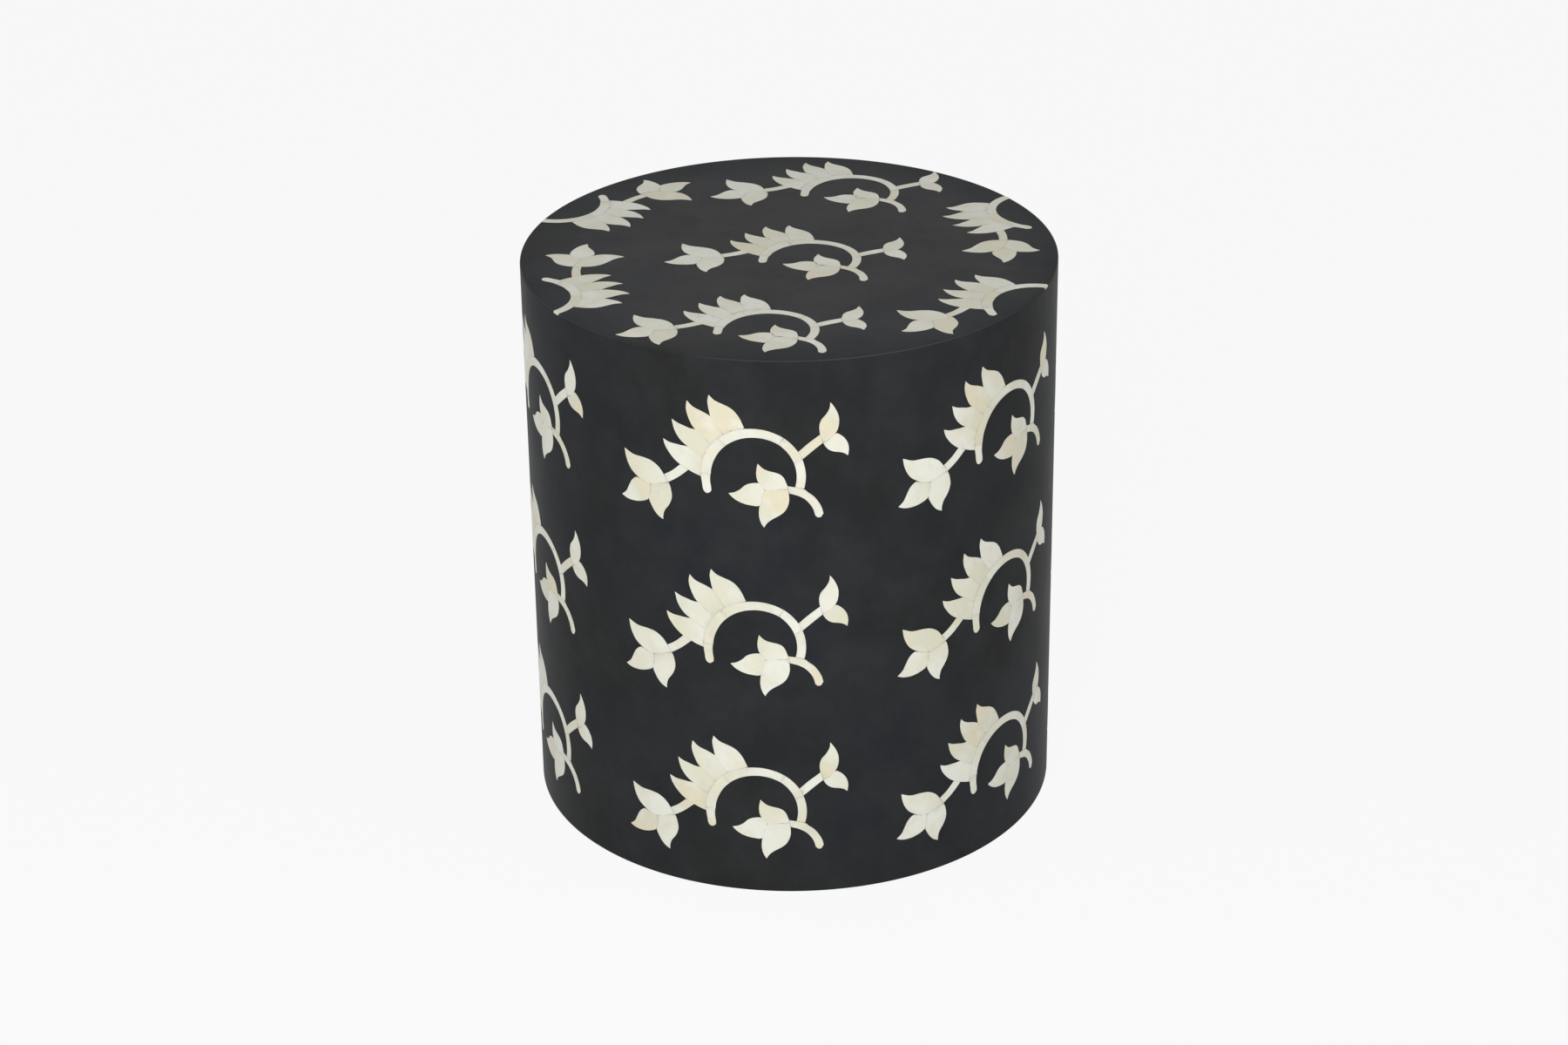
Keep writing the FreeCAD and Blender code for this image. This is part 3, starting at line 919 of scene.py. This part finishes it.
def makeBone():
    # Ivory bone: each slip has its own tone, with warm patches, fibres along it and small pores,
    # and a painted shade inside its edges.
    material, nodes, links, shader = startMaterial("bone")
    look = boneLook
    place = add(nodes, "ShaderNodeTexCoord").outputs["Object"]
    tone = add(nodes, "ShaderNodeAttribute", attribute_name="tone").outputs["Fac"]
    grain = add(nodes, "ShaderNodeAttribute", attribute_name="grain").outputs["Vector"]
    colour = tinted(nodes, links, look["white"], look["ivory"], tone, look["ivoryShare"])
    colour = tinted(nodes, links, colour, look["cream"], tone, look["creamShare"])
    colour = tinted(nodes, links, colour, look["peach"], tone, look["peachShare"])
    patches = noiseNode(nodes, links, place, *look["patchNoise"])
    colour = tinted(nodes, links, colour, look["warm"], patches, look["warmShare"])
    colour = tinted(nodes, links, colour, look["white"], patches, look["whiteShare"])
    shaded = noiseNode(nodes, links, place, *look["shadeNoise"])
    colour = tinted(nodes, links, colour, look["grey"], shaded, look["greyShare"])
    alongFibres = stretchBy(nodes, links, grain, look["fibreStretch"])
    fibres = noiseNode(nodes, links, alongFibres, *look["fibreNoise"])
    colour = tinted(nodes, links, colour, look["fibre"], fibres, look["fibreShare"])
    alongPores = stretchBy(nodes, links, grain, look["poreStretch"])
    pores = noiseNode(nodes, links, alongPores, *look["poreNoise"])
    pits = remap(nodes, links, pores, *look["poreShare"])
    colour = mixColours(nodes, links, pits, colour, look["pore"])
    # dark glue in specks at a slip's foot
    glue = add(nodes, "ShaderNodeAttribute", attribute_name="glue").outputs["Fac"]
    specks = noiseNode(nodes, links, place, *look["glueNoise"])
    specks = remap(nodes, links, specks, *look["glueShare"])
    glue = combine(nodes, links, "MULTIPLY", glue, specks)
    colour = mixColours(nodes, links, glue, colour, look["glue"])
    # brown glue and dirt along the edges, thicker in some places, and inside them a soft painted
    # shade in grey
    inward = add(nodes, "ShaderNodeSeparateXYZ")
    links.new(grain, inward.inputs[0])
    ragged = noiseNode(nodes, links, place, *look["raggedNoise"])
    reach = remap(nodes, links, ragged, *look["stainReach"])
    stain = combine(nodes, links, "DIVIDE", inward.outputs["Z"], reach)
    colour = tinted(nodes, links, colour, look["joint"], stain, look["stainShare"])
    # painted shade inside the edges, stronger in some places
    soft = remap(nodes, links, inward.outputs["Z"], *look["paintedEdgeShade"])
    varies = remap(nodes, links, shaded, *look["paintedEdgeShadeVaries"])
    soft = combine(nodes, links, "MULTIPLY", soft, varies)
    colour = mixColours(nodes, links, soft, colour, look["grey"])
    rubbed = placeRubbed(nodes, links, place, look)
    relief = look["scratchRelief"]
    scratches = combine(nodes, links, "MULTIPLY", rubbed.outputs["Height"], relief)
    height = combine(nodes, links, "SUBTRACT", scratches, pits)
    links.new(colour, shader.inputs["Base Color"])
    links.new(rubbed.outputs["Roughness"], shader.inputs["Roughness"])
    links.new(bumpNormal(nodes, links, height, look), shader.inputs["Normal"])
    shader.inputs["IOR"].default_value = look["refraction"]
    return material


woodLook = {
    "pale": (0.46, 0.30, 0.165),
    "dark": (0.27, 0.155, 0.075),
    "pore": (0.12, 0.065, 0.03),
    "staveStretch": (1.0, 1.0, 0.08),
    "boardStretch": (0.08, 1.0, 1.0),
    "ringNoise": (24.0, 4.0, 0.6),
    "ringTurns": 38.0,
    "poreNoise": (420.0, 2.0, 0.6),
    "darkShare": (-1.0, 1.0, 0.0, 1.0),
    "poreShare": (0.55, 0.75, 0.0, 0.5),
    "roughness": 0.62,
    "roughnessVaries": 0.1,
    "scratchScale": 500.0,
    "bumpHeight": 0.15 * mm,
    "bumpStrength": 0.6,
}


def makeWood(name, stretch):
    # Sawn wood: rings pulled out along the board, with darker pores in the same direction.
    material, nodes, links, shader = startMaterial(name)
    look = woodLook
    place = add(nodes, "ShaderNodeTexCoord").outputs["Object"]
    along = stretchBy(nodes, links, place, stretch)
    rings = noiseNode(nodes, links, along, *look["ringNoise"])
    turns = combine(nodes, links, "MULTIPLY", rings, look["ringTurns"])
    bands = combine(nodes, links, "SINE", turns)
    colour = tinted(nodes, links, look["pale"], look["dark"], bands, look["darkShare"])
    pores = noiseNode(nodes, links, along, *look["poreNoise"])
    colour = tinted(nodes, links, colour, look["pore"], pores, look["poreShare"])
    rubbed = placeRubbed(nodes, links, place, look)
    links.new(colour, shader.inputs["Base Color"])
    links.new(rubbed.outputs["Roughness"], shader.inputs["Roughness"])
    links.new(bumpNormal(nodes, links, pores, look), shader.inputs["Normal"])
    return material


feltLook = {
    "dark": (0.035, 0.035, 0.037),
    "light": (0.085, 0.083, 0.080),
    "tangleNoise": (1500.0, 4.0, 0.7),
    "lightShare": (0.35, 0.7, 0.0, 1.0),
    "bumpHeight": 0.4 * mm,
    "bumpStrength": 0.8,
    "roughness": 0.95,
    "sheen": 0.3,
}


def makeFelt():
    # Pressed wool: a tangle of short fibres.
    material, nodes, links, shader = startMaterial("felt")
    look = feltLook
    place = add(nodes, "ShaderNodeTexCoord").outputs["Object"]
    tangle = noiseNode(nodes, links, place, *look["tangleNoise"])
    colour = tinted(nodes, links, look["dark"], look["light"], tangle, look["lightShare"])
    links.new(colour, shader.inputs["Base Color"])
    links.new(bumpNormal(nodes, links, tangle, look), shader.inputs["Normal"])
    shader.inputs["Roughness"].default_value = look["roughness"]
    shader.inputs["Sheen Weight"].default_value = look["sheen"]
    return material


def dress(pieces, material):
    for piece in pieces:
        piece.data.materials.clear()
        piece.data.materials.append(material)


dress([resinCoat], makeResin())
dress(sideSprigs + topSprigs, makeBone())
dress(feltPads, makeFelt())
for piece in [resinCoat] + sideSprigs + topSprigs + feltPads:
    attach(piece, "root")

hiddenLook = {
    "stave": makeWood("staveWood", woodLook["staveStretch"]),
    "board": makeWood("boardWood", woodLook["boardStretch"]),
    "resin": bpy.data.materials["charcoalResin"],
    "sprig": bpy.data.materials["bone"],
    "felt": bpy.data.materials["felt"],
}
for name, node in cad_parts.items():
    for word, material in hiddenLook.items():
        if word in name:
            node.data.materials.clear()
            node.data.materials.append(material)
print("materials made")


# Studio

studio = {
    "floorColour": (0.69, 0.69, 0.685),
    "floorRoughness": 0.9,
    "floorRings": [0, 3.0, 12.0],
    "floorDown": 0.2 * mm,  # keeps the floor just under the pads
    "floorTurns": 96,
    "floorEvenness": 0.93,  # how much of the floor shows the backdrop's even white
    "backdropStrength": 0.985,
    "worldStrength": 0.33,
}

lamps = {
    "keyLamp": {"place": (-0.34, -1.85, 1.20), "aim": (0, 0, 0.28), "size": 1.3, "energy": 23.8},
    "fillLamp": {"place": (1.7, -2.4, 1.3), "aim": (0, 0, 0.25), "size": 2.2, "energy": 12.0},
}


def seenBy(nodes, links):
    # 1 for what the camera sees directly, in a mirror or through glass.
    path = add(nodes, "ShaderNodeLightPath").outputs
    mirrored = combine(nodes, links, "MAXIMUM", path["Is Camera Ray"], path["Is Glossy Ray"])
    return combine(nodes, links, "MAXIMUM", mirrored, path["Is Transmission Ray"])


def makeFloor():
    # A wide floor disc in one grid; it shows near white to the camera and keeps the stool's shadow.
    profile = np.array([(ring, -studio["floorDown"]) for ring in studio["floorRings"]])
    floor = makePiece("floor", *revolved(profile, studio["floorTurns"]))
    material, nodes, links, shader = startMaterial("paleFloor")
    shader.inputs["Base Color"].default_value = (*studio["floorColour"], 1)
    shader.inputs["Roughness"].default_value = studio["floorRoughness"]
    white = add(nodes, "ShaderNodeEmission")
    white.inputs["Strength"].default_value = studio["backdropStrength"]
    shown = combine(nodes, links, "MULTIPLY", seenBy(nodes, links), studio["floorEvenness"])
    mix = add(nodes, "ShaderNodeMixShader")
    links.new(shown, mix.inputs["Fac"])
    links.new(shader.outputs[0], mix.inputs[1])
    links.new(white.outputs[0], mix.inputs[2])
    links.new(mix.outputs[0], nodes["Material Output"].inputs["Surface"])
    floor.data.materials.append(material)


def areaLamp(name, place, aim, size, energy):
    lamp = bpy.data.objects.new(name, bpy.data.lights.new(name, "AREA"))
    bpy.context.scene.collection.objects.link(lamp)
    lamp.data.shape, lamp.data.size, lamp.data.energy = "DISK", size, energy
    lamp.location = place
    lamp.visible_camera = False
    way = np.array(aim) - np.array(place)
    lamp.rotation_mode = "QUATERNION"
    lamp.rotation_quaternion = Vector(way.tolist()).to_track_quat("-Z", "Y")


def lightStudio():
    world = bpy.data.worlds.new("studio")
    world.use_nodes = True
    bpy.context.scene.world = world
    nodes, links = world.node_tree.nodes, world.node_tree.links
    lit = nodes["Background"]
    white = add(nodes, "ShaderNodeBackground")
    for shade, strength in ((lit, "worldStrength"), (white, "backdropStrength")):
        shade.inputs["Color"].default_value = (1, 1, 1, 1)
        shade.inputs["Strength"].default_value = studio[strength]
    mix = add(nodes, "ShaderNodeMixShader")
    links.new(seenBy(nodes, links), mix.inputs["Fac"])
    links.new(lit.outputs[0], mix.inputs[1])
    links.new(white.outputs[0], mix.inputs[2])
    links.new(mix.outputs[0], nodes["World Output"].inputs["Surface"])
    for name, lamp in lamps.items():
        areaLamp(name, **lamp)


makeFloor()
lightStudio()
bpy.context.scene.view_settings.view_transform = "Standard"
print("studio lit")
